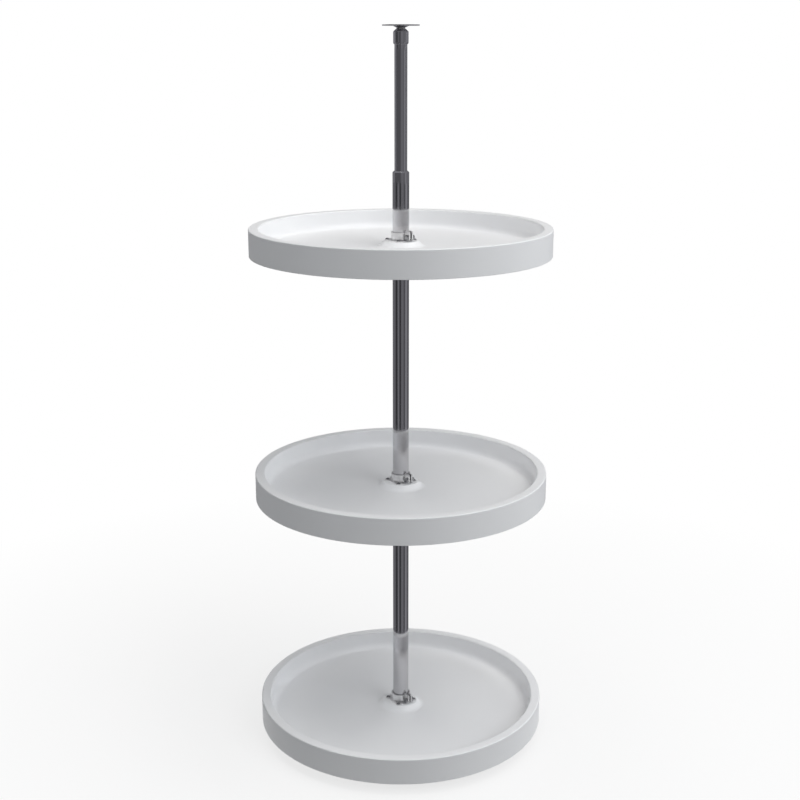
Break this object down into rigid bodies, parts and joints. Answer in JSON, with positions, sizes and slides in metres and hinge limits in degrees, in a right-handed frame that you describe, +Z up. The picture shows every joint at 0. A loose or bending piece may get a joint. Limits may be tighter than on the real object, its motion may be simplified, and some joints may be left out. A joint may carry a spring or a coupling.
{
  "type": "rotating pantry shelf unit",
  "caption": "Tall rotating pantry unit: full-round moulded trays with deep rims, clamped by split hubs to a telescopic chromed post that turns between a floor bearing and a ceiling pivot.",
  "frame": {"origin": "centre of the floor plate's underside, which lies on the cabinet floor", "axes": "+Z up along the post; +X to the right and -Y towards a person who stands in front, with the hubs' clamp bolts at the front right"},
  "size_m": [0.61, 0.61, 1.4867],
  "materials": {
    "tray_white": "white moulded polymer with a fine even grain, semi-matt",
    "post_chrome": "bright chrome plate on drawn steel",
    "hub_zinc": "bright zinc plate on steel",
    "plate_zinc": "bright zinc plate on pressed steel sheet",
    "fastener_zinc": "zinc-plated screws, bolts, washers and nuts",
    "bearing_steel": "ground and hardened bearing steel",
    "bush_nylon": "natural nylon"
  },
  "bodies": {
    "floor_mount": {"floor_plate": "plate_zinc", "pivot_pin": "bearing_steel", "bearing_lower_race": "bearing_steel"},
    "ball_ring": {"bearing_balls": "bearing_steel", "bearing_cage": "bush_nylon"},
    "post": {"bearing_upper_race": "bearing_steel", "bottom_plug": "bush_nylon", "lower_tube": "post_chrome", "guide_bush": "bush_nylon", "lock_nut": "fastener_zinc", "lock_screw": "fastener_zinc"},
    "upper_post": {"glide_ring": "bush_nylon", "upper_tube": "post_chrome", "top_bushing": "bush_nylon", "top_cap": "post_chrome"},
    "ceiling_mount": {"ceiling_plate": "post_chrome", "top_pin": "bearing_steel", "thrust_washer": "bush_nylon"},
    "bottom_shelf": {"bottom_tray": "tray_white", "bottom_hub": "hub_zinc", "bottom_hub_screws": "fastener_zinc", "bottom_clamp_bolt": "fastener_zinc", "bottom_clamp_washer": "fastener_zinc", "bottom_clamp_nut": "fastener_zinc"},
    "middle_shelf": {"middle_tray": "tray_white", "middle_hub": "hub_zinc", "middle_hub_screws": "fastener_zinc", "middle_clamp_bolt": "fastener_zinc", "middle_clamp_washer": "fastener_zinc", "middle_clamp_nut": "fastener_zinc"},
    "top_shelf": {"top_tray": "tray_white", "top_hub": "hub_zinc", "top_hub_screws": "fastener_zinc", "top_clamp_bolt": "fastener_zinc", "top_clamp_washer": "fastener_zinc", "top_clamp_nut": "fastener_zinc"}
  },
  "joints": [
    {"name": "post_spin", "type": "hinge", "parent": "floor_mount", "child": "post", "pos_m": [0, 0, 0.0098], "axis": [0, 0, 1], "continuous": true},
    {"name": "ball_ring_spin", "type": "hinge", "parent": "floor_mount", "child": "ball_ring", "pos_m": [0, 0, 0.0098], "axis": [0, 0, 1], "continuous": true},
    {"name": "telescope", "type": "slide", "parent": "post", "child": "upper_post", "axis": [0, 0, 1], "range_m": [-0.2, 0.15]},
    {"name": "ceiling_pivot", "type": "hinge", "parent": "upper_post", "child": "ceiling_mount", "pos_m": [0, 0, 1.4801], "axis": [0, 0, 1], "continuous": true},
    {"name": "bottom_shelf_height", "type": "slide", "parent": "post", "child": "bottom_shelf", "axis": [0, 0, 1], "range_m": [-0.015, 0.15]},
    {"name": "middle_shelf_height", "type": "slide", "parent": "post", "child": "middle_shelf", "axis": [0, 0, 1], "range_m": [-0.15, 0.15]},
    {"name": "top_shelf_height", "type": "slide", "parent": "post", "child": "top_shelf", "axis": [0, 0, 1], "range_m": [-0.15, 0.08]}
  ],
  "couplings": [
    {"joint": "ball_ring_spin", "follows": "post_spin", "ratio": 0.5},
    {"joint": "ceiling_pivot", "follows": "post_spin", "ratio": -1}
  ]
}
